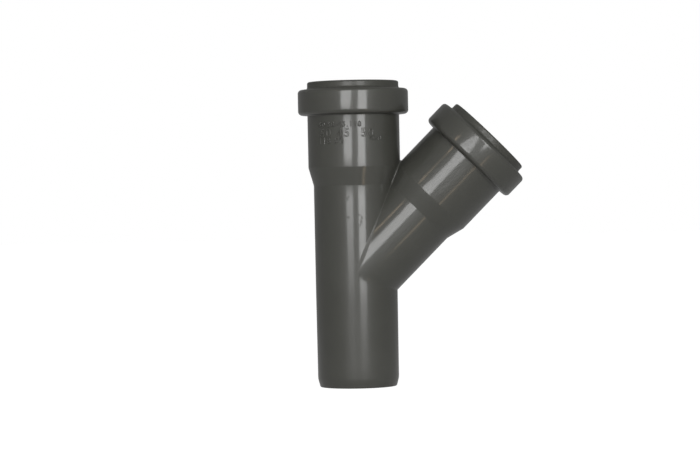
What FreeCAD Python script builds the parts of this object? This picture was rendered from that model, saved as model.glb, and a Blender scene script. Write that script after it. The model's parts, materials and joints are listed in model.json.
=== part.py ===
import FreeCAD, Part
import math
import os

from FreeCAD import Vector

# A lateral wye for 50 mm waste pipe. The body is moulded in one piece: a straight run with a plain
# spigot at its lower end and a socket at its upper end, and a branch that ends in the same socket.
# Each socket has a bead near its mouth, and the groove inside that bead holds a rubber ring seal.
# The origin is the middle of the spigot's end face. +Z runs up the run, and the branch leans to +X.
# Millimetres and degrees.

# The pipe that the fitting joins
pipe_diameter = 50.0
pipe_wall = 3.0

# The run and the branch
branch_angle = 45.0
body_swell = 0.2
shoulder_length = 8.5
shoulder_to_crotch = 0.6
taper_to_crotch = 2.6
crotch_rounding = 1.0

# The spigot
spigot_length = 50.0
spigot_chamfer_length = 5.2
spigot_chamfer_depth = 1.4

# The sockets; a depth is measured down from the mouth
socket_clearance = 0.3
socket_wall = 3.0
taper_top_depth = 52.75
taper_length = 11.15

# The bead, the seal groove inside it and the lip above it
bead_length = 15.75
bead_wall = 2.8
bead_rounding = 2.3
lip_height = 4.75
lip_wall = 2.55
lip_clearance = 0.6
lip_rounding = 1.0
lead_in_length = 1.2
lead_in_depth = 0.7
groove_top_depth = 7.5
groove_width = 10.5
groove_depth = 5.9

# The ring seal, with its lip laid back as a pipe leaves it
seal_fit = 0.1
seal_ring_width = 4.2
seal_ring_thickness = 3.8
seal_lip_thickness = 1.0
seal_lip_clearance = 0.1

pipe_radius = pipe_diameter / 2
bore_radius = pipe_radius - pipe_wall
body_radius = pipe_radius + body_swell
crotch_reach = body_radius * math.tan(math.radians(branch_angle / 2)) + shoulder_to_crotch
crossing_height = spigot_length + shoulder_length + crotch_reach

socket_bore_radius = pipe_radius + socket_clearance
socket_radius = socket_bore_radius + socket_wall
lip_bore_radius = pipe_radius + lip_clearance
lip_radius = lip_bore_radius + lip_wall
groove_radius = socket_bore_radius + groove_depth
bead_radius = groove_radius + bead_wall

# The run's and the branch's sockets meet in a crotch just above their tapers
crotch_top = socket_radius / math.tan(math.radians(branch_angle / 2))
crossing_to_mouth = crotch_top - taper_to_crotch + taper_top_depth

# The two mitre planes through the crossing, as angles from the run's axis towards the branch
acute_mitre = branch_angle / 2
obtuse_mitre = 90 + branch_angle / 2
back_of_run = 270

# A body that reaches past the whole fitting on every side
past_everything = 2 * (crossing_height + crossing_to_mouth + bead_radius)


def eased_face(corners):
    """A face in the XZ plane with corners (radius, height, rounding); rounding 0 stays sharp.

    A rounded corner has three points of its arc, so that it turns into two narrow cones.
    """
    points = [Vector(radius, 0, height) for radius, height, rounding in corners]
    outline = []
    for index, corner in enumerate(points):
        rounding = corners[index][2]
        if rounding == 0:
            outline.append(corner)
            continue
        backward = (points[index - 1] - corner).normalize()
        forward = (points[(index + 1) % len(points)] - corner).normalize()
        half_angle = backward.getAngle(forward) / 2
        tangent_length = rounding / math.tan(half_angle)
        middle_distance = rounding / math.sin(half_angle) - rounding
        outline.append(corner + backward * tangent_length)
        outline.append(corner + (backward + forward).normalize() * middle_distance)
        outline.append(corner + forward * tangent_length)
    return Part.Face(Part.makePolygon(outline + outline[:1]))


def turned(corners):
    """The solid that the outline leaves when it is turned about the Z axis."""
    return eased_face(corners).revolve(Vector(0, 0, 0), Vector(0, 0, 1), 360)


def leaned(shape):
    """The shape turned about the crossing from the run's axis onto the branch's axis."""
    copy = shape.copy()
    copy.rotate(Vector(0, 0, 0), Vector(0, 1, 0), branch_angle)
    return copy


def mitre_wedge(first_angle, last_angle):
    """The space between two planes through the crossing, at angles from the run's axis."""
    middle_angle = (first_angle + last_angle) / 2
    corners = [Vector(0, -past_everything, 0)]
    for angle in (first_angle, middle_angle, last_angle):
        across = past_everything * math.sin(math.radians(angle))
        up = past_everything * math.cos(math.radians(angle))
        corners.append(Vector(across, -past_everything, up))
    face = Part.Face(Part.makePolygon(corners + corners[:1]))
    return face.extrude(Vector(0, 2 * past_everything, 0))


def socket_leg():
    """The hollow leg from the crossing at height 0 up to the mouth of its socket."""
    mouth = crossing_to_mouth
    bead_top = mouth - lip_height
    bead_foot = bead_top - bead_length
    taper_top = mouth - taper_top_depth
    taper_foot = taper_top - taper_length
    groove_top = mouth - groove_top_depth
    groove_foot = groove_top - groove_width
    # The wall turns with the taper, so the corners of the inner cone lie a little further up
    taper_turn = math.atan((socket_radius - body_radius) / taper_length)
    stop_foot = taper_foot + (body_radius - bore_radius) * math.tan(taper_turn / 2)
    stop_top = taper_top + socket_wall * math.tan(taper_turn / 2)
    return turned([
        (bore_radius, 0, 0),
        (body_radius, 0, 0),
        (body_radius, taper_foot, 0),
        (socket_radius, taper_top, 0),
        (socket_radius, bead_foot, 0),
        (bead_radius, bead_foot, bead_rounding),
        (bead_radius, bead_top, bead_rounding),
        (lip_radius, bead_top, 0),
        (lip_radius, mouth, lip_rounding),
        (lip_bore_radius + lead_in_depth, mouth, 0),
        (lip_bore_radius, mouth - lead_in_length, 0),
        (lip_bore_radius, groove_top, 0),
        (groove_radius, groove_top, 0),
        (groove_radius, groove_foot, 0),
        (socket_bore_radius, groove_foot, 0),
        (socket_bore_radius, stop_top, 0),
        (bore_radius, stop_foot, 0),
    ])


def spigot_leg():
    """The hollow leg from the crossing at height 0 down to the end of the spigot."""
    end = -crossing_height
    chamfer_top = end + spigot_chamfer_length
    spigot_top = end + spigot_length
    return turned([
        (bore_radius, end, 0),
        (pipe_radius - spigot_chamfer_depth, end, 0),
        (pipe_radius, chamfer_top, 0),
        (pipe_radius, spigot_top, 0),
        (body_radius, spigot_top + shoulder_length, 0),
        (body_radius, 0, 0),
        (bore_radius, 0, 0),
    ])


def crotch_edges(body, mitre_angle):
    """The outer edges of the body that lie in one mitre plane."""
    angle = math.radians(mitre_angle)
    normal = Vector(math.cos(angle), 0, -math.sin(angle))
    inside_wall = body_radius - pipe_wall / 2
    found = []
    for edge in body.Edges:
        first, last = edge.ParameterRange
        places = [edge.valueAt(first + (last - first) * step / 4) for step in range(5)]
        in_plane = all(abs(place.dot(normal)) < 0.001 for place in places)
        if in_plane and math.hypot(places[2].x, places[2].y) > inside_wall:
            found.append(edge)
    return found


def wye_body():
    """The moulded body: three legs, each kept between its own mitre planes, with rounded crotches."""
    leg = socket_leg()
    run = leg.common(mitre_wedge(back_of_run - 360, acute_mitre))
    branch = leaned(leg).common(mitre_wedge(acute_mitre, obtuse_mitre))
    spigot = spigot_leg().common(mitre_wedge(obtuse_mitre, back_of_run))
    body = run.fuse([branch, spigot]).removeSplitter().Solids[0]
    crotches = crotch_edges(body, acute_mitre) + crotch_edges(body, obtuse_mitre)
    return body.makeFillet(crotch_rounding, crotches).Solids[0]


def ring_seal():
    """One ring seal in the groove of the leg that points up, with the crossing at height 0."""
    top = crossing_to_mouth - groove_top_depth - seal_fit
    foot = top - seal_ring_width
    outside = groove_radius - seal_fit
    inside = outside - seal_ring_thickness
    lip_radius_inside = pipe_radius + seal_lip_clearance
    lip_foot = crossing_to_mouth - groove_top_depth - groove_width + seal_fit
    return turned([
        (inside, top, 0),
        (outside, top, 0),
        (outside, foot, 0),
        (inside + seal_lip_thickness, foot, 0),
        (lip_radius_inside + seal_lip_thickness, lip_foot, 0),
        (lip_radius_inside, lip_foot, 0),
    ])


def at_height(shape):
    """The shape lifted from the crossing to its height above the spigot's end."""
    shape.translate(Vector(0, 0, crossing_height))
    return shape


nodes = {
    "wye_body": at_height(wye_body()),
    "main_socket_seal": at_height(ring_seal()),
    "branch_socket_seal": at_height(leaned(ring_seal())),
}

os.makedirs("parts", exist_ok=True)
for name, shape in nodes.items():
    shape.exportStep("parts/" + name + ".step")
    box = shape.BoundBox
    print(name, "valid", shape.isValid(), "solids", len(shape.Solids), "volume", round(shape.Volume, 1),
          "size", round(box.XLength, 2), round(box.YLength, 2), round(box.ZLength, 2))
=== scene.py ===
# %% [markdown]
# # A lateral wye for waste pipe, in moulded grey plastic
#
# The real fitting is one piece of dark grey plastic. A straight run has a plain end, the spigot,
# below and a socket above, and a branch leaves it at 45 degrees and ends in the same socket. The
# bead near each mouth hides a groove with a rubber ring seal. The construction model already has
# the right sizes. This lesson dresses it: a finer mesh with true roundings, plastic and rubber
# that answer the light, and a plain white studio.

# %% Load the frame
import json
import math

import bmesh
import bpy
from mathutils import Matrix, Vector


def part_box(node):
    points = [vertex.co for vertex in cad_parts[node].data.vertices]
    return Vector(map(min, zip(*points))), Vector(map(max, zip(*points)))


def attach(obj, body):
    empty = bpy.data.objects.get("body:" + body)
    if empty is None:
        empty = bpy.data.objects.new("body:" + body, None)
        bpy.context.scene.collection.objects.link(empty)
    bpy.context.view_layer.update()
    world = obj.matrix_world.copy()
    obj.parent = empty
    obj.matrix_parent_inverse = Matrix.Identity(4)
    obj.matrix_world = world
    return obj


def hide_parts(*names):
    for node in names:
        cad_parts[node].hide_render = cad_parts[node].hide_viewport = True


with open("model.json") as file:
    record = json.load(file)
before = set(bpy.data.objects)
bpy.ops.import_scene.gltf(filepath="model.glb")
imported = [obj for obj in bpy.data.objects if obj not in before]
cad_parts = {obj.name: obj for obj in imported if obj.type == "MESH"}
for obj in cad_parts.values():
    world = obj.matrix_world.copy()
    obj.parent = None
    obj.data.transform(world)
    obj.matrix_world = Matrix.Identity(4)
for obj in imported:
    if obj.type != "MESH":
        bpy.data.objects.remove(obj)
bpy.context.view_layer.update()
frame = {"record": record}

# %% [markdown]
# ## Sizes
#
# The fitting's own numbers say where everything goes, so they come first. Both sockets are stated
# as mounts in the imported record, at the same distance from the point where the two axes cross.
# That gives the lean of the branch and the height of the crossing without measuring a picture.
# The other sizes are the moulder's: walls, depths and roundings, in millimetres.

# %% Read the sizes that the record holds
MM = 0.001
mounts = {mount["name"]: mount for mount in frame["record"]["mounts"]}
branch_axis = Vector(mounts["branch_socket"]["axis"])
groove_foot = mounts["branch_socket"]["pos_m"][0] / branch_axis.x / MM
crossing_height = mounts["main_socket"]["pos_m"][2] / MM - groove_foot
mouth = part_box("wye_body")[1].z / MM - crossing_height
bead_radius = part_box("wye_body")[1].y / MM
socket_bore = mounts["main_socket"]["dims"]["r_mm"]
pipe_radius = mounts["spigot"]["dims"]["r_mm"]
chamfer_length = mounts["spigot"]["pos_m"][2] / MM
branch_angle = math.degrees(math.atan2(branch_axis.x, branch_axis.z))
print(f"crossing {crossing_height:.2f} mm up, mouths {mouth:.2f} mm from it")
print(f"branch at {branch_angle:.0f} degrees")

# %% Name the sizes that the record leaves out
DRAFT = 0.2
DRAFT_LENGTH = 11.0
WALL = 3.0
CHAMFER_DEPTH = 1.4
TAPER_TOP_DEPTH = 52.75
TAPER_LENGTH = 11.15
LIP_HEIGHT = 4.75
LIP_RADIUS = 28.15
LIP_BORE = 25.6
LEAD_IN_DEPTH = 0.7
LEAD_IN_LENGTH = 1.2
BEAD_LENGTH = 15.75
BEAD_WALL = 2.8
GROOVE_TOP_DEPTH = 7.5
STOP_ABOVE_TAPER = 0.45
BELOW_CROSSING = -1.0

body_radius = pipe_radius + DRAFT
bore_radius = pipe_radius - WALL
socket_radius = socket_bore + WALL
taper_top = mouth - TAPER_TOP_DEPTH
taper_foot = taper_top - TAPER_LENGTH
bead_top = mouth - LIP_HEIGHT
bead_foot = bead_top - BEAD_LENGTH
groove_top = mouth - GROOVE_TOP_DEPTH
groove_radius = bead_radius - BEAD_WALL
stop_top = groove_foot - mounts["main_socket"]["dims"]["length_mm"]
stop_foot = taper_foot + STOP_ABOVE_TAPER
print(f"taper from {taper_foot:.2f} to {taper_top:.2f} mm above the crossing")
print(f"bead from {bead_foot:.2f} to {bead_top:.2f} mm above the crossing")

# %% [markdown]
# ## A profile with true roundings
#
# Every wall of the fitting is turned about an axis, so a wall is a line of corners, each with a
# radius and a distance along the axis. No moulded corner is sharp: the mould's own edges are
# rounded, and that rounding is what catches a thin line of light. A Bevel modifier could round
# the finished mesh, but it would also cut the smooth walls. Rounding the drawn line first costs
# nothing, and it gives the exact direction that the wall faces at each point.

# %% A helper that rounds a profile's corners
ARC_STEP = math.radians(9)
ROW_SPACING = 7.0


def rounded_profile(corners):
    """Rows (place, facing) along a line of corners (radius, distance, rounding), with arcs."""
    places = [Vector(corner[:2]) for corner in corners]
    rows = []
    for index, (place, (_, _, rounding)) in enumerate(zip(places, corners)):
        before = (place - places[index - 1]).normalized() if index else None
        after = (places[index + 1] - place).normalized() if index + 1 < len(places) else None
        before, after = before or after, after or before
        turn = math.atan2(before.x * after.y - before.y * after.x, before.dot(after))
        facing = Vector((before.y, -before.x))
        if not rounding:
            rows.append((place, facing))
            continue
        bend = math.copysign(rounding, turn)
        start = place - before * rounding * math.tan(abs(turn) / 2)
        steps = max(2, math.ceil(abs(turn) / ARC_STEP))
        for step in range(steps + 1):
            turned = Matrix.Rotation(turn * step / steps, 2) @ facing
            rows.append((start - facing * bend + turned * bend, turned))
    return rows


def with_more_rows(rows):
    """The same rows, with more between those that lie far apart."""
    fuller = rows[:1]
    for (place, facing), (last, last_facing) in zip(rows[1:], rows):
        parts = max(1, round((place - last).length / ROW_SPACING))
        for part in range(1, parts + 1):
            share = part / parts
            fuller.append((last.lerp(place, share), last_facing.lerp(facing, share).normalized()))
    return fuller


# %% Draw the socket's and the spigot's profiles
socket_outside = [
    (body_radius, BELOW_CROSSING, 0),
    (body_radius, taper_foot, 2.5),
    (socket_radius, taper_top, 1.6),
    (socket_radius, bead_foot, 0.8),
    (bead_radius, bead_foot, 2.6),
    (bead_radius, bead_top, 2.3),
    (LIP_RADIUS, bead_top, 1.6),
    (LIP_RADIUS, mouth, 1.2),
    (LIP_BORE + LEAD_IN_DEPTH, mouth, 0.25),
]
socket_inside = [
    (LIP_BORE, mouth - LEAD_IN_LENGTH, 0.3),
    (LIP_BORE, groove_top, 0.2),
    (groove_radius, groove_top, 0.3),
    (groove_radius, groove_foot, 0.3),
    (socket_bore, groove_foot, 0.25),
    (socket_bore, stop_top, 0.4),
    (bore_radius, stop_foot, 0.5),
    (bore_radius, BELOW_CROSSING, 0),
]
spigot_profile = [
    (body_radius, BELOW_CROSSING, 0),
    (body_radius, DRAFT_LENGTH, 6.0),
    (pipe_radius, crossing_height - chamfer_length, 9.0),
    (pipe_radius - CHAMFER_DEPTH, crossing_height, 1.0),
    (bore_radius, crossing_height, 0.3),
    (bore_radius, BELOW_CROSSING, 0),
]
socket_rows = with_more_rows(rounded_profile(socket_outside + socket_inside))
spigot_rows = with_more_rows(rounded_profile(spigot_profile))
print("rows on the socket's profile:", len(socket_rows), "and on the spigot's:", len(spigot_rows))

# %% [markdown]
# ## Three legs that meet in rounded crotches
#
# Where two pipes of one width cross, their walls meet in the plane halfway between the axes, the
# mitre plane. In the mould that edge is rounded, as if a small ball had rolled along it. A Boolean
# with a Bevel could make it, but on round walls it leaves slivers that break the reflections, and
# on this fitting the reflections are most of the look. So each leg is made of straight columns of
# points, and each column starts where the ball touches it. The ball's middle lies on the mitre
# plane, so the two legs' columns end in the same points and weld without a seam. The ball grows
# to the front and back, where the walls hardly bend. In the acute crotch it leaves only its two
# edges round, with a flat between them: that flat is the dark gap between the bright strips.

# %% Helpers for one column of a leg
COLUMNS = 160
TIGHT_BALL = 0.25
SIDE_BALL = 0.7
SIDE_STARTS = 0.86
BALL_ROWS = 8
NEAREST_ROW = 0.08


def first_place(rows, lean, ball):
    """Where a column leaves the mitre plane: the row after it, and the place and facing there.

    lean is how far along the axis the plane goes for each millimetre out from the axis.
    """
    def beyond(row):
        place, facing = row
        centre = place + facing * ball
        return centre.y - centre.x * lean

    for index in range(1, len(rows)):
        last, here = beyond(rows[index - 1]), beyond(rows[index])
        if here > 0:
            share = last / (last - here)
            place = rows[index - 1][0].lerp(rows[index][0], share)
            facing = rows[index - 1][1].lerp(rows[index][1], share).normalized()
            near = (rows[index][0] - place).length < NEAREST_ROW
            return index + near, place, facing


def leg_column(rows, around, axis, sideways, crotches):
    """One column of a leg: its ball rows, its own rows by number, and its last row in the bore.

    crotches has, for the near and the far side, the crotch's half angle, its widest ball, how
    late the ball grows, and whether a flat lies between round edges.
    """
    outward = sideways * math.cos(around) + Vector((0, 1, 0)) * math.sin(around)
    near_side = math.cos(around) > 0
    half_degrees, widest_ball, lateness, flat_between = crotches[0 if near_side else 1]
    half_angle = math.radians(half_degrees)
    aside = abs(math.cos(around))
    lean = aside / math.tan(half_angle)
    at_side = max(0.0, (aside - SIDE_STARTS) / (1 - SIDE_STARTS))
    edge = TIGHT_BALL + (SIDE_BALL - TIGHT_BALL) * min(1.0, 2 * at_side)
    ball = edge + (widest_ball - edge) * (1 - aside) ** lateness

    def in_space(flat):
        return outward * flat.x + axis * flat.y

    first, touch, facing = first_place(rows, lean, ball)
    touch, facing = in_space(touch), in_space(facing)
    across = sideways if near_side else -sideways
    plane = across * math.cos(half_angle) - axis * math.sin(half_angle)
    middle = (facing - plane * facing.dot(plane)).normalized()
    rounding = edge if flat_between else ball
    centre = touch + facing * rounding
    flat_end = centre - middle * rounding
    ball_rows = [(flat_end - plane * flat_end.dot(plane), middle)]
    for step in range(BALL_ROWS):
        towards = middle.slerp(facing, step / (BALL_ROWS - 1), facing)
        ball_rows.append((centre - towards * rounding, towards))
    last, end, end_facing = first_place(rows[::-1], lean, 0)
    own = {i: (in_space(rows[i][0]), in_space(rows[i][1])) for i in range(first, len(rows) - last)}
    return ball_rows, own, (in_space(end), in_space(end_facing))


# %% Helpers that fill the strip between two columns
def ladder(left, right, steps):
    """Faces with four corners between two neighbouring columns of (place, facing)."""
    return [[left[step], right[step], right[step + 1], left[step + 1]] for step in steps]


def strip_between(left, right):
    """All faces between two neighbouring columns of a leg.

    Where one column has more rows of its own than the other, triangles fill the end of the strip.
    """
    numbers = [sorted(column[1]) for column in (left, right)]
    low, high = max(n[0] for n in numbers), min(n[-1] for n in numbers)
    faces = ladder(left[0], right[0], range(BALL_ROWS))
    faces += ladder(left[1], right[1], range(low, high))
    for end, shared, step in ((0, low, 1), (-1, high, -1)):
        left_has_more = step * numbers[0][end] <= step * numbers[1][end]
        longer, shorter = (left, right) if left_has_more else (right, left)
        first = numbers[0 if left_has_more else 1][end]
        tip, far_tip = [column[2] if end else column[0][-1] for column in (longer, shorter)]
        chain = [tip] + [longer[1][n] for n in range(first, shared + step, step)]
        faces += [[far_tip, one, two] for one, two in zip(chain, chain[1:])]
        faces.append([far_tip, chain[-1], shorter[1][shared]])
    return faces


def leg_faces(rows, axis, sideways, crotches):
    """All faces of one leg, with the crossing of the axes as the origin, in millimetres."""
    columns = []
    for number in range(COLUMNS):
        around = 2 * math.pi * number / COLUMNS
        columns.append(leg_column(rows, around, axis, sideways, crotches))
    faces = []
    for left, right in zip(columns, columns[1:] + columns[:1]):
        faces += strip_between(left, right)
    return faces


# %% [markdown]
# ## One welded mesh
#
# The faces of the three legs go into one mesh, and corners at the same place become one vertex.
# Blender works out smooth shading by averaging the faces around a vertex, which dents the light
# at a rounding's edge, where big faces meet small ones. Here the exact facing of every corner is
# known, so it is given to the mesh as custom normals, and the walls reflect like turned ones.

# %% Helpers that put objects in the scene and weld faces
WELD_DISTANCE = 0.000002


def add_object(name, data):
    """A new object in the scene, from a mesh, a curve or a camera."""
    made = bpy.data.objects.new(name, data)
    bpy.context.scene.collection.objects.link(made)
    return made


def welded_object(name, faces, move):
    """A mesh object from faces of (place, facing) in millimetres, moved by the matrix move."""
    places = [move @ (place * MM) for face in faces for place, _ in face]
    facings = [(move.to_3x3() @ facing).normalized() for face in faces for _, facing in face]
    polygons, first = [], 0
    for face in faces:
        polygons.append(range(first, first + len(face)))
        first += len(face)
    mesh = bpy.data.meshes.new(name)
    mesh.from_pydata(places, [], polygons)
    known = mesh.attributes.new("facing", "FLOAT_VECTOR", "CORNER")
    known.data.foreach_set("vector", [c for facing in facings for c in facing])
    weld = bmesh.new()
    weld.from_mesh(mesh)
    bmesh.ops.remove_doubles(weld, verts=weld.verts, dist=WELD_DISTANCE)
    bmesh.ops.recalc_face_normals(weld, faces=weld.faces)
    weld.to_mesh(mesh)
    weld.free()
    mesh.shade_smooth()
    known = mesh.attributes["facing"]
    mesh.normals_split_custom_set([corner.vector for corner in known.data])
    mesh.attributes.remove(known)
    return add_object(name, mesh)


def open_edges(made):
    """How many edges of the mesh don't have exactly two faces: none in a closed piece."""
    check = bmesh.new()
    check.from_mesh(made.data)
    count = sum(not edge.is_manifold for edge in check.edges)
    check.free()
    return count


# %% Build the moulded body
UP, RIGHT = Vector((0, 0, 1)), Vector((1, 0, 0))
ACUTE_BALL, ACUTE_LATENESS = 20.0, 5
OBTUSE_BALL, OBTUSE_LATENESS = 50.0, 2.5
acute_crotch = (branch_angle / 2, ACUTE_BALL, ACUTE_LATENESS, True)
obtuse_crotch = (90 - branch_angle / 2, OBTUSE_BALL, OBTUSE_LATENESS, False)
straight_back = (90, TIGHT_BALL, 1, False)
towards_run = Vector((-branch_axis.z, 0, branch_axis.x))
body_faces = leg_faces(socket_rows, UP, RIGHT, (acute_crotch, straight_back))
body_faces += leg_faces(socket_rows, branch_axis, towards_run, (acute_crotch, obtuse_crotch))
body_faces += leg_faces(spigot_rows, -UP, RIGHT, (obtuse_crotch, straight_back))
to_crossing = Matrix.Translation((0, 0, crossing_height * MM))
moulded_body = welded_object("moulded_body", body_faces, to_crossing)
from_crossing = moulded_body.data.attributes.new("from_crossing", "FLOAT", "POINT")
for vertex, value in zip(moulded_body.data.vertices, from_crossing.data):
    place = vertex.co / MM - Vector((0, 0, crossing_height))
    value.value = max(place.z, place.dot(branch_axis))
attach(moulded_body, "root")
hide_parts("wye_body")
print(moulded_body.name, len(moulded_body.data.polygons), "faces,",
      open_edges(moulded_body), "open edges")

# %% [markdown]
# ## The ring seals
#
# Each seal is a rubber ring with a soft lip that a pipe pushes back as it goes in. It is turned
# like the walls, so the helpers for rounded profiles and welding serve again. Its profile is
# closed on itself, and with no mitre plane in the way all its columns have the same rows.

# %% Build both ring seals
RING_THICKNESS = 3.8
RING_WIDTH = 4.2
SEAL_LIP_THICKNESS = 1.0
SEAL_LIP_CLEARANCE = 0.1
SEAL_LIP_RISE = 0.5
SEAL_LIP_RUN = 0.25
SEAM_PLACE = 2.0

seal_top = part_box("main_socket_seal")[1].z / MM - crossing_height
seal_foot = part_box("main_socket_seal")[0].z / MM - crossing_height
seal_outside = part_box("main_socket_seal")[1].y / MM
seal_inside = seal_outside - RING_THICKNESS
seam = seal_inside + SEAM_PLACE
ring_foot = seal_top - RING_WIDTH
lip_inside = pipe_radius + SEAL_LIP_CLEARANCE
seal_profile = [
    (seam, seal_top, 0),
    (seal_inside, seal_top, 0.6),
    (lip_inside, seal_foot + SEAL_LIP_RISE, 0.4),
    (lip_inside + SEAL_LIP_RUN, seal_foot, 0.2),
    (lip_inside + SEAL_LIP_THICKNESS, seal_foot, 0.4),
    (seal_inside + SEAL_LIP_THICKNESS, ring_foot, 0.5),
    (seal_outside, ring_foot, 0.8),
    (seal_outside, seal_top, 0.8),
    (seam, seal_top, 0),
]


def ring_faces(rows, axis, sideways):
    """Faces of a ring turned about the axis through the crossing."""
    columns = []
    for number in range(COLUMNS):
        around = 2 * math.pi * number / COLUMNS
        outward = sideways * math.cos(around) + Vector((0, 1, 0)) * math.sin(around)
        columns.append([tuple(outward * flat.x + axis * flat.y for flat in row) for row in rows])
    faces = []
    for left, right in zip(columns, columns[1:] + columns[:1]):
        faces += ladder(left, right, range(len(rows) - 1))
    return faces


seal_rows = [(place, -facing) for place, facing in rounded_profile(seal_profile)]
seals = []
for name, axis, sideways in (("main", UP, RIGHT), ("branch", branch_axis, towards_run)):
    seal = welded_object(name + "_ring_seal", ring_faces(seal_rows, axis, sideways), to_crossing)
    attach(seal, "root")
    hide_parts(name + "_socket_seal")
    seals.append(seal)
    print(seal.name, len(seal.data.polygons), "faces,", open_edges(seal), "open edges")

# %% [markdown]
# ## Raised numbers
#
# A mould leaves small raised figures on the socket, for the pipe width, the angle and the arm's
# length. They are small from here, but they break up the bright strips, and a wall without them
# looks too clean. Text objects give the outlines. Their points are then wrapped around the socket,
# because a flat row of figures would sink into the round wall at its ends.

# %% Wrap rows of figures around the socket
NUMBER_RELIEF = 0.6
NUMBER_SINK = 0.2
NUMBER_ROUNDING = 0.38
NUMBER_THINNING = -0.2
NUMBER_SPACING = 1.25
FONT_SIZE_TO_HEIGHT = 1.4
number_rows = [
    ("50.50.45.118", 3.1, -47, 161.3),
    ("50 45  50", 5.2, -45, 156.2),
    ("118 50", 3.6, -47, 151.4),
    ("69.45", 2.2, 21, 152.6),
]


def raised_numbers(name, rows):
    """Rows of figures (text, height, first angle, middle height) on the run's socket."""
    places, polygons = [], []
    for text, tall, first_degrees, middle in rows:
        curve = bpy.data.curves.new("figures", "FONT")
        curve.body = text
        curve.size = tall * FONT_SIZE_TO_HEIGHT
        curve.space_character = NUMBER_SPACING
        curve.resolution_u = 3
        curve.extrude = (NUMBER_RELIEF + NUMBER_SINK) / 2 - NUMBER_ROUNDING
        curve.bevel_depth = NUMBER_ROUNDING
        curve.bevel_resolution = 2
        curve.offset = NUMBER_THINNING
        flat = add_object("figures", curve)
        shape = flat.evaluated_get(bpy.context.evaluated_depsgraph_get()).to_mesh()
        first = len(places)
        for vertex in shape.vertices:
            around = math.radians(first_degrees) + vertex.co.x / socket_radius
            out = socket_radius + vertex.co.z + (NUMBER_RELIEF - NUMBER_SINK) / 2
            up = middle - tall / 2 + vertex.co.y
            places.append(Vector((out * math.sin(around), -out * math.cos(around), up)) * MM)
        polygons += [[first + corner for corner in face.vertices] for face in shape.polygons]
        bpy.data.objects.remove(flat)
        bpy.data.curves.remove(curve)
    mesh = bpy.data.meshes.new(name)
    mesh.from_pydata(places, [], polygons)
    return add_object(name, mesh)


numbers = raised_numbers("raised_numbers", number_rows)
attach(numbers, "root")
print("raised numbers:", len(numbers.data.polygons), "faces")

# %% [markdown]
# ## Finishes from small parts
#
# A moulded surface is never quite even. The melt leaves long shallow waves, the mould's steel
# leaves a fine grain, and handling leaves faint scuffs and a few small nicks. Each effect is a
# node group of its own, with named inputs, so plastic and rubber can share it at different
# strengths. A picture could hold the same marks, but nodes need no unwrapping and stay sharp at
# any distance.

# %% Helpers for node groups
def new_group(name, inputs, outputs):
    """An empty shader group with float inputs {name: default} and outputs {name: type}."""
    group = bpy.data.node_groups.new(name, "ShaderNodeTree")
    for label, value in inputs.items():
        socket = group.interface.new_socket(label, in_out="INPUT", socket_type="NodeSocketFloat")
        socket.default_value = value
    for label, kind in outputs.items():
        group.interface.new_socket(label, in_out="OUTPUT", socket_type="NodeSocket" + kind)
    return group, group.nodes.new("NodeGroupInput"), group.nodes.new("NodeGroupOutput")


def add_node(tree, kind, links=(), **settings):
    """A node with its settings, and with its inputs linked or set from (input, source) pairs."""
    node = tree.nodes.new("ShaderNode" + kind)
    for label, value in settings.items():
        setattr(node, label, value)
    for socket, source in links:
        if isinstance(source, bpy.types.NodeSocket):
            tree.links.new(source, node.inputs[socket])
        else:
            node.inputs[socket].default_value = source
    return node


def sum_of(tree, *sources):
    """A socket with the sum of several sockets."""
    total = sources[0]
    for source in sources[1:]:
        total = add_node(tree, "Math", [(0, total), (1, source)], operation="ADD").outputs[0]
    return total


def scaled(tree, source, factor, offset=0.0):
    """A socket with source times factor plus offset."""
    links = [(0, source), (1, factor), (2, offset)]
    return add_node(tree, "Math", links, operation="MULTIPLY_ADD").outputs[0]


def mapped(tree, source, before, after=(0.0, 1.0), **settings):
    """A socket with source carried from the range before to the range after, and kept in it."""
    links = [("Value", source), ("From Min", before[0]), ("From Max", before[1]),
             ("To Min", after[0]), ("To Max", after[1])]
    return add_node(tree, "MapRange", links, **settings).outputs[0]


def object_place(tree):
    """A socket with the place in the object's own coordinates, in metres."""
    return add_node(tree, "TexCoord").outputs["Object"]


def noise(tree, links):
    """A socket with smooth noise from 0 to 1."""
    return add_node(tree, "TexNoise", links).outputs["Fac"]


# %% The group for moulding marks
def moulding_marks():
    """Waves of the cooled melt and the grain of the mould, as one height in metres."""
    group, given, result = new_group(
        "moulding marks",
        {"Wave Size": 40.0, "Wave Height": 0.00001, "Grain Size": 900.0, "Grain Height": 0.000001},
        {"Height": "Float"},
    )
    place = object_place(group)
    waves = noise(group, [("Vector", place), ("Scale", given.outputs["Wave Size"]),
                          ("Detail", 1.0), ("Roughness", 0.4)])
    grain = noise(group, [("Vector", place), ("Scale", given.outputs["Grain Size"]),
                          ("Detail", 2.0), ("Roughness", 0.5)])
    total = sum_of(group, scaled(group, waves, given.outputs["Wave Height"]),
                   scaled(group, grain, given.outputs["Grain Height"]))
    group.links.new(total, result.inputs["Height"])
    return group


marks_group = moulding_marks()
print("group made:", marks_group.name)


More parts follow.
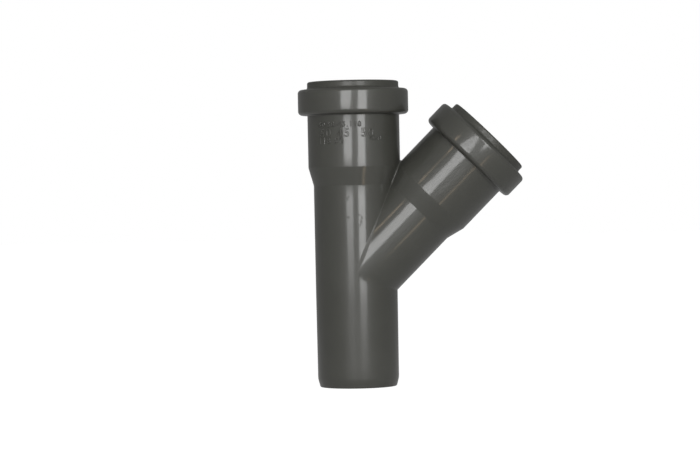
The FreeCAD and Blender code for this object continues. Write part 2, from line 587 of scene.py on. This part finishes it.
# %% The group for scuffs
def handling_scuffs():
    """Short fine scratches and soft rub marks, as a mask from 0 to 1."""
    group, given, result = new_group(
        "handling scuffs", {"Scratch Size": 60.0, "Amount": 0.5}, {"Mask": "Float"}
    )
    place = object_place(group)
    bent = add_node(group, "TexNoise", [("Vector", place), ("Scale", 90.0), ("Detail", 1.0)])
    shift = add_node(group, "VectorMath", [(0, bent.outputs["Color"]), (1, (0.004, 0.004, 0.012))],
                     operation="MULTIPLY")
    moved = add_node(group, "VectorMath", [(0, place), (1, shift.outputs[0])], operation="ADD")
    stretched = add_node(group, "VectorMath", [(0, moved.outputs[0]), (1, (7.0, 7.0, 1.0))],
                         operation="MULTIPLY")
    lines = add_node(group, "TexVoronoi", [("Vector", stretched.outputs[0]),
                                           ("Scale", given.outputs["Scratch Size"])],
                     feature="DISTANCE_TO_EDGE")
    thin = mapped(group, lines.outputs["Distance"], (0.0, 0.012), (1.0, 0.0))
    patches = noise(group, [("Vector", place), ("Scale", 55.0), ("Detail", 3.0)])
    scratch = scaled(group, thin, mapped(group, patches, (0.58, 0.7)))
    group.links.new(scaled(group, scratch, given.outputs["Amount"]), result.inputs["Mask"])
    return group


scuffs_group = handling_scuffs()
print("group made:", scuffs_group.name)


# %% The group for uneven tone
def uneven_tone():
    """A colour that drifts between two values, as pigment does in a moulded wall."""
    group, given, result = new_group("uneven tone", {"Patch Size": 30.0}, {"Colour": "Color"})
    for label in ("Lighter", "Darker"):
        group.interface.new_socket(label, in_out="INPUT", socket_type="NodeSocketColor")
    clouds = noise(group, [("Vector", object_place(group)),
                           ("Scale", given.outputs["Patch Size"]), ("Detail", 4.0),
                           ("Roughness", 0.6)])
    mix = add_node(group, "Mix", [(0, mapped(group, clouds, (0.35, 0.65))),
                                  (6, given.outputs["Darker"]), (7, given.outputs["Lighter"])],
                   data_type="RGBA")
    group.links.new(mix.outputs[2], result.inputs["Colour"])
    return group


tone_group = uneven_tone()
print("group made:", tone_group.name)


# %% The group for a nick
def small_nick():
    """One shallow nick around a place, stretched by a vector, as a mask from 0 to 1."""
    group, given, result = new_group("small nick", {"Radius": 0.001}, {"Mask": "Float"})
    for label in ("Place", "Stretch"):
        group.interface.new_socket(label, in_out="INPUT", socket_type="NodeSocketVector")
    aside = add_node(group, "VectorMath", [(0, object_place(group)), (1, given.outputs["Place"])],
                     operation="SUBTRACT")
    squeezed = add_node(group, "VectorMath", [(0, aside.outputs[0]), (1, given.outputs["Stretch"])],
                        operation="DIVIDE")
    distance = add_node(group, "VectorMath", [(0, squeezed.outputs[0])], operation="LENGTH")
    mask = mapped(group, distance.outputs["Value"], (0.0, given.outputs["Radius"]), (1.0, 0.0),
                  interpolation_type="SMOOTHSTEP")
    group.links.new(mask, result.inputs["Mask"])
    return group


nick_group = small_nick()
print("group made:", nick_group.name)


# %% [markdown]
# ## Grey plastic
#
# The plastic is dark, with a thin glossy skin over a hazier body. Most of what the eye sees on it
# is the white room, with two clear strips from the softboxes. So the colour itself is nearly
# black. The shader's own roughness is medium, for the haze, and its coat is nearly smooth, for
# the strips. One medium layer would smear the strips, and one smooth layer would lose the haze
# around them. Noise makes the skin uneven, the lip has little of it, and scuffs and nicks take it
# away. Each nick has a place, a radius, a stretch along the three axes and a strength. The
# moulding marks bend the strips a little, as they do on the real wall.

# %% Helpers for materials, and the grey plastic
NICKS = [
    ((-0.0047, -0.0247, 0.1155), 0.0014, (1.0, 3, 1.4), 1.0),
    ((-0.0037, -0.0248, 0.1167), 0.0011, (1.0, 3, 1.3), 1.0),
    ((-0.0043, -0.0247, 0.1043), 0.0018, (1.1, 3, 0.8), 1.0),
    ((0.0028, -0.0249, 0.1057), 0.0011, (1.2, 3, 0.9), 1.0),
    ((0.0042, -0.0248, 0.1041), 0.0011, (0.9, 3, 1.7), 1.0),
    ((0.0038, -0.0248, 0.1015), 0.0010, (0.9, 3, 2.2), 1.0),
    ((0.0031, -0.0249, 0.0993), 0.0010, (0.9, 3, 1.6), 1.0),
    ((0.0218, -0.0126, 0.0560), 0.0009, (1.2, 1.2, 1.0), 1.0),
    ((0.0714, -0.0335, 0.1488), 0.0016, (0.8, 3, 1.3), 0.35),
    ((0.0690, -0.0335, 0.1472), 0.0017, (1.2, 3, 0.9), 0.35),
    ((0.0703, -0.0339, 0.1440), 0.0018, (1.4, 3, 0.8), 0.35),
    ((0.0730, -0.0333, 0.1518), 0.0018, (0.9, 3, 1.4), 0.35),
]
NICK_DEPTH = 0.0001
SCRATCH_DEPTH = 0.000004
HAZE_ROUGHNESS, HAZE_STRENGTH = 0.42, 0.3
SKIN_ROUGHNESS, SKIN_LEAST, SKIN_CLOUDS = 0.12, 0.49, 0.14
LESS_SKIN_ON_LIP, LESS_SKIN_ON_SCUFFS, LESS_SKIN_ON_NICKS = 0.43, 0.4, 0.45
LIP_EDGE = 0.3
ROUGHER_ON_SCUFFS = 0.2


def use_group(tree, group, values):
    """A node that uses the group in a material, with its own values."""
    node = tree.nodes.new("ShaderNodeGroup")
    node.node_tree = group
    for label, value in values.items():
        node.inputs[label].default_value = value
    return node


def new_material(name):
    """A material with its tree and its Principled shader."""
    material = bpy.data.materials.new(name)
    material.use_nodes = True
    return material, material.node_tree, material.node_tree.nodes["Principled BSDF"]


def add_bump(tree, shader, height):
    """Bend the shader's normal by a height in metres."""
    bump = add_node(tree, "Bump", [("Height", height), ("Strength", 1.0), ("Distance", 1.0)])
    tree.links.new(bump.outputs["Normal"], shader.inputs["Normal"])


def grey_plastic():
    """Moulded plastic: nearly black and hazy, with the room's light in its thin glossy skin."""
    material, tree, shader = new_material("moulded_grey_plastic")
    tone = use_group(tree, tone_group, {"Patch Size": 26.0, "Lighter": (0.053, 0.0533, 0.046, 1),
                                        "Darker": (0.047, 0.0473, 0.0405, 1)})
    tree.links.new(tone.outputs["Colour"], shader.inputs["Base Color"])
    scuffs = use_group(tree, scuffs_group, {"Scratch Size": 60.0, "Amount": 0.6})
    scuffed = scuffs.outputs["Mask"]
    roughness = scaled(tree, scuffed, ROUGHER_ON_SCUFFS, HAZE_ROUGHNESS)
    tree.links.new(roughness, shader.inputs["Roughness"])
    along = add_node(tree, "Attribute", attribute_name="from_crossing").outputs["Fac"]
    on_lip = mapped(tree, along, (bead_top, bead_top + LIP_EDGE))
    clouds = noise(tree, [("Vector", object_place(tree)), ("Scale", 330.0), ("Detail", 2.0)])
    masks = []
    for place, radius, stretch, share in NICKS:
        nick = use_group(tree, nick_group, {"Place": place, "Radius": radius, "Stretch": stretch})
        masks.append(scaled(tree, nick.outputs["Mask"], share))
    nicks = sum_of(tree, *masks)
    skin = sum_of(tree, scaled(tree, clouds, SKIN_CLOUDS, SKIN_LEAST),
                  scaled(tree, on_lip, -LESS_SKIN_ON_LIP),
                  scaled(tree, scuffed, -LESS_SKIN_ON_SCUFFS),
                  scaled(tree, nicks, -LESS_SKIN_ON_NICKS))
    tree.links.new(skin, shader.inputs["Coat Weight"])
    shader.inputs["Coat Roughness"].default_value = SKIN_ROUGHNESS
    shader.inputs["Specular IOR Level"].default_value = HAZE_STRENGTH
    shader.inputs["IOR"].default_value = 1.5
    marks = use_group(tree, marks_group, {"Wave Size": 38.0, "Wave Height": 0.00001,
                                          "Grain Size": 1400.0, "Grain Height": 0.0000015})
    add_bump(tree, shader, sum_of(tree, marks.outputs["Height"],
                                  scaled(tree, scuffed, -SCRATCH_DEPTH),
                                  scaled(tree, nicks, -NICK_DEPTH)))
    return material


plastic = grey_plastic()
for piece in (moulded_body, numbers):
    piece.data.materials.append(plastic)
    print(piece.name, "wears", plastic.name)

# %% [markdown]
# ## Black rubber
#
# The seals are dull black rubber with a slight bloom. The same groups serve, with a coarser grain
# and a high roughness, so that the ring stays dark even where light falls into the mouth.

# %% The black rubber
RUBBER_ROUGHNESS = 0.62


def black_rubber():
    """Dull rubber with a slight bloom."""
    material, tree, shader = new_material("seal_rubber")
    tone = use_group(tree, tone_group, {"Patch Size": 60.0, "Lighter": (0.026, 0.026, 0.026, 1),
                                        "Darker": (0.016, 0.016, 0.016, 1)})
    tree.links.new(tone.outputs["Colour"], shader.inputs["Base Color"])
    scuffs = use_group(tree, scuffs_group, {"Scratch Size": 90.0, "Amount": 0.4})
    roughness = scaled(tree, scuffs.outputs["Mask"], ROUGHER_ON_SCUFFS, RUBBER_ROUGHNESS)
    tree.links.new(roughness, shader.inputs["Roughness"])
    marks = use_group(tree, marks_group, {"Wave Size": 120.0, "Wave Height": 0.00004,
                                          "Grain Size": 2600.0, "Grain Height": 0.000012})
    add_bump(tree, shader, marks.outputs["Height"])
    return material


rubber = black_rubber()
for seal in seals:
    seal.data.materials.append(rubber)
    print(seal.name, "wears", rubber.name)

# %% [markdown]
# ## The studio
#
# The fitting stands on a white table in a white room. For the camera the room is plain white. In
# reflections and as soft light it is dimmer, and brighter in front of the fitting than behind it,
# so that the walls keep their depth and the two softboxes do the shaping. Light Path tells these
# rays apart. The table mixes glow with a plain matte white, so it looks white and still shows the
# fitting's soft shadow. It ends in front at a straight edge, and its reflection dims with
# distance, which keeps the underside of the branch dark.

# %% The white room
def seen_directly(tree):
    """A socket that is 1 for camera, glossy and transmission rays, and 0 for the others."""
    path = tree.nodes.new("ShaderNodeLightPath")
    wanted = [path.outputs[name] for name in
              ("Is Camera Ray", "Is Glossy Ray", "Is Transmission Ray")]
    return add_node(tree, "Math", [(0, sum_of(tree, *wanted)), (1, 1.0)],
                    operation="MINIMUM").outputs[0]


ROOM_LIGHT = 0.8
FRONT_OF_ROOM = 0.62
BACK_OF_ROOM = 0.27
FALL_TO_BACK = 3.0
world = bpy.data.worlds.new("white_room")
world.use_nodes = True
room = world.node_tree
backdrop = room.nodes["Background"]
backdrop.inputs["Color"].default_value = (1, 1, 1, 1)
direction = add_node(room, "TexCoord").outputs["Generated"]
split = add_node(room, "SeparateXYZ", [(0, direction)])
frontness = mapped(room, split.outputs["Y"], (1.0, -1.0))
shaped = add_node(room, "Math", [(0, frontness), (1, FALL_TO_BACK)], operation="POWER")
shade = scaled(room, shaped.outputs[0], FRONT_OF_ROOM - BACK_OF_ROOM, BACK_OF_ROOM)
soft = scaled(room, seen_directly(room), 1 - ROOM_LIGHT, ROOM_LIGHT)
camera_ray = room.nodes.new("ShaderNodeLightPath").outputs["Is Camera Ray"]
strength = add_node(room, "Mix", [(0, camera_ray), (2, scaled(room, soft, shade)),
                                  (3, 1.0)]).outputs[0]
room.links.new(strength, backdrop.inputs["Strength"])
bpy.context.scene.world = world
print("the room's soft light:", ROOM_LIGHT)


# %% The floor
FLOOR_WHITE = (0.79, 0.81)
GLOW_SHARE = 0.78
GLOW_FOR_CAMERA = 1.25
MIRROR_FADES = (0.2, 0.8)
MIRRORED_GLOW = (0.44, 0.3)


def glowing_material(name):
    """A material without the Principled shader, with its tree and its surface socket."""
    material, tree, shader = new_material(name)
    tree.nodes.remove(shader)
    return material, tree, tree.nodes["Material Output"].inputs["Surface"]


def white_floor():
    """Matte white that glows where the camera or a reflection sees it, and keeps shadows."""
    material, tree, surface = glowing_material("white_floor")
    speckle = noise(tree, [("Scale", 6.0), ("Detail", 2.0)])
    white = mapped(tree, speckle, (0.0, 1.0), FLOOR_WHITE)
    matte = add_node(tree, "BsdfDiffuse", [("Color", white)])
    camera_ray = tree.nodes.new("ShaderNodeLightPath").outputs["Is Camera Ray"]
    away = add_node(tree, "VectorMath", [(0, object_place(tree))], operation="LENGTH")
    mirrored = mapped(tree, away.outputs["Value"], MIRROR_FADES, MIRRORED_GLOW)
    strength = add_node(tree, "Mix", [(0, camera_ray), (2, mirrored), (3, GLOW_FOR_CAMERA)])
    glow = add_node(tree, "Emission", [("Strength", strength.outputs[0])])
    lit = add_node(tree, "MixShader", [(0, GLOW_SHARE), (1, matte.outputs[0]),
                                       (2, glow.outputs[0])])
    both = add_node(tree, "MixShader", [(0, seen_directly(tree)), (1, matte.outputs[0]),
                                        (2, lit.outputs[0])])
    tree.links.new(both.outputs[0], surface)
    return material


FLOOR_HALF = 6.0
FRONT_EDGE = -0.75
floor_mesh = bpy.data.meshes.new("studio_floor")
corners = [(-FLOOR_HALF, FRONT_EDGE), (FLOOR_HALF, FRONT_EDGE), (FLOOR_HALF, FLOOR_HALF),
           (-FLOOR_HALF, FLOOR_HALF)]
floor_mesh.from_pydata([(x, y, 0) for x, y in corners], [], [(0, 1, 2, 3)])
floor = add_object("studio_floor", floor_mesh)
floor_mesh.materials.append(white_floor())
print("floor", 2 * FLOOR_HALF, "m wide")

# %% [markdown]
# ## Two softboxes
#
# A tall softbox stands on each side of the camera. Round dark plastic acts as a narrow mirror, so
# each one becomes a thin upright strip on the run. The strip's edges on the wall give the
# softbox's edges in the room: a wall that faces 5 degrees aside shows what stands 10 degrees
# aside. So each outline is a list of directions and heights. An area light could do the same,
# but a glowing panel takes any outline and any falloff. The cloth is dim at its foot, which
# reaches below the table's front edge, and that makes the strips fade low on the run.

# %% Place the softboxes
SOFTBOX_DISTANCE = 2.5
TOP_FADES, TOP_GLOW = (0.1, 0.5), (1.0, 0.87)


def softbox_cloth(name, glow, foot_fades):
    """A cloth that glows in front only, dim at its foot and a little dimmer at its top.

    glow is the strength at the foot and above it, and foot_fades the heights where it changes.
    """
    material, tree, surface = glowing_material(name)
    height = add_node(tree, "SeparateXYZ", [(0, object_place(tree))]).outputs["Y"]
    foot = mapped(tree, height, foot_fades, glow, interpolation_type="SMOOTHSTEP")
    front = scaled(tree, add_node(tree, "NewGeometry").outputs["Backfacing"], -1.0, 1.0)
    upper = scaled(tree, foot, mapped(tree, height, TOP_FADES, TOP_GLOW))
    cloth = add_node(tree, "Emission", [("Strength", scaled(tree, upper, front))])
    tree.links.new(cloth.outputs[0], surface)
    return material


def softbox(name, outline, cloth):
    """A softbox from its outline, clockwise from its lower right corner as the camera sees it.

    Each corner is a direction in degrees right of the camera, and a height in metres.
    """
    directions = [math.radians(degrees) for degrees, _ in outline]
    middle = (min(directions) + max(directions)) / 2
    corners = [(SOFTBOX_DISTANCE * math.tan(middle - direction), height, 0)
               for direction, (_, height) in zip(directions, outline)]
    mesh = bpy.data.meshes.new(name)
    mesh.from_pydata(corners, [], [range(len(corners))])
    mesh.materials.append(cloth)
    made = add_object(name, mesh)
    outward = Vector((-math.sin(middle), math.cos(middle), 0))
    across = UP.cross(outward)
    made.matrix_world = Matrix.Translation(-outward * SOFTBOX_DISTANCE) @ Matrix(
        (across, UP, outward)).transposed().to_4x4()
    made.visible_camera = False
    print(f"{name}: {len(corners)} corners, {made.dimensions.x:.2f} by {made.dimensions.y:.2f} m")


left_outline = [(-5.7, -0.13), (-22.5, -0.13), (-22.5, 0.05), (-24.5, 0.15), (-24.8, 1.04),
                (-2.3, 1.04), (-2.3, 0.42), (-5.7, 0.05)]
right_outline = [(29.0, -0.051), (9.7, -0.051), (9.7, 0.08), (11.2, 0.22), (11.2, 1.13),
                 (29.0, 1.13)]
softbox("left_softbox", left_outline, softbox_cloth("left_cloth", (0.2, 10.0), (-0.08, 0.18)))
softbox("right_softbox", right_outline, softbox_cloth("right_cloth", (7.8, 10.7), (-0.04, 0.1)))

# %% [markdown]
# ## Two warm reflections
#
# Thin brownish lines run along the branch on both sides of its bright strip. They are reflections
# of warm things in the room: a lamp high on the left, and a batten that lies on the table in front.
# The batten is no lamp, yet here it is a glowing panel: its warm glow is painted light, standing in
# for a lit wooden batten. Both stand outside the picture, but the leaning branch sees them. Their
# glow fades for a grazing look, or the low part of the run would show the batten too.

# %% Place the warm lamp and the batten
WARM = (1.0, 0.78, 0.55, 1)
UNEVEN_GLOW = (0.8, 1.2)
GRAZING_FADES = (0.7, 0.85)


def warm_thing(name, glow, size, place, aim):
    """A small warm panel that only reflections see: size across and tall, facing along aim."""
    material, tree, surface = glowing_material(name)
    grain = noise(tree, [("Scale", 40.0), ("Detail", 2.0)])
    uneven = mapped(tree, grain, (0.0, 1.0), (UNEVEN_GLOW[0] * glow, UNEVEN_GLOW[1] * glow))
    grazing = add_node(tree, "LayerWeight", [("Blend", 0.5)]).outputs["Facing"]
    strength = scaled(tree, uneven, mapped(tree, grazing, GRAZING_FADES, (1.0, 0.0)))
    light = add_node(tree, "Emission", [("Color", WARM), ("Strength", strength)])
    tree.links.new(light.outputs[0], surface)
    across, tall = size[0] / 2, size[1] / 2
    mesh = bpy.data.meshes.new(name)
    mesh.from_pydata([(-across, -tall, 0), (across, -tall, 0), (across, tall, 0),
                      (-across, tall, 0)], [], [(0, 1, 2, 3)])
    mesh.materials.append(material)
    made = add_object(name, mesh)
    turn = Vector(aim).to_track_quat("Z", "Y").to_matrix().to_4x4()
    made.matrix_world = Matrix.Translation(place) @ turn
    made.visible_camera = False
    made.visible_diffuse = False
    print(f"{name} at {tuple(round(c, 2) for c in made.location)}")


LAMP_DISTANCE = 2.5
LAMP_AIM = Vector((0.03, 0, 0.1))
BATTEN_PLACE = (0.175, -0.318, 0.004)
BATTEN_TURN = math.atan2(0.10, 0.13)
lamp_side, lamp_height = math.radians(-36), math.radians(30.5)
to_lamp = Vector((math.sin(lamp_side) * math.cos(lamp_height),
                  -math.cos(lamp_side) * math.cos(lamp_height), math.sin(lamp_height)))
warm_thing("warm_lamp", 9.0, (0.13, 0.13), to_lamp * LAMP_DISTANCE + LAMP_AIM, -to_lamp)
# The batten is a glowing panel, not a lamp: its warm glow is painted light for a lit wooden batten.
warm_thing("glowing_batten_panel", 3.8, (0.024, 0.242), BATTEN_PLACE, UP)
bpy.data.objects["glowing_batten_panel"].rotation_euler.z = BATTEN_TURN

# %% [markdown]
# ## The camera
#
# The photograph was taken with a long lens, almost level with the fitting. A long lens keeps the
# upright walls nearly parallel. The three small turns and the two shifts of the view say how the
# fitting stood: its top leans a little to the left, and its mouths show a thin sliver from above.

# %% Set the camera
IMAGE_WIDTH, IMAGE_HEIGHT = 700, 468
CAMERA_DISTANCE = 1.6836
PIXELS_PER_METRE = 1620
CROSSING_PIXEL = (356.5, 273.55)
TURNS = {"X": 0.777, "Y": -1.177, "Z": -0.82}

camera_data = bpy.data.cameras.new("camera")
camera_data.sensor_width = 36
camera_data.lens = PIXELS_PER_METRE * CAMERA_DISTANCE / IMAGE_WIDTH * camera_data.sensor_width
camera = add_object("camera", camera_data)
bpy.context.scene.camera = camera
turned = Matrix()
for direction in "XYZ":
    turned = turned @ Matrix.Rotation(math.radians(TURNS[direction]), 4, direction)
aside = (IMAGE_WIDTH / 2 - CROSSING_PIXEL[0]) / PIXELS_PER_METRE
above = (CROSSING_PIXEL[1] - IMAGE_HEIGHT / 2) / PIXELS_PER_METRE
stand = Matrix.Translation((aside, -CAMERA_DISTANCE, above))
level = Matrix.Rotation(math.radians(90), 4, "X")
camera.matrix_world = to_crossing @ turned.inverted() @ stand @ level
print(f"lens {camera_data.lens:.1f} mm, {camera.location.z:.3f} m above the floor")

# %% [markdown]
# ## Finish
#
# Standard colours keep the written values true.

# %% Finish with standard colours
bpy.context.scene.view_settings.view_transform = "Standard"
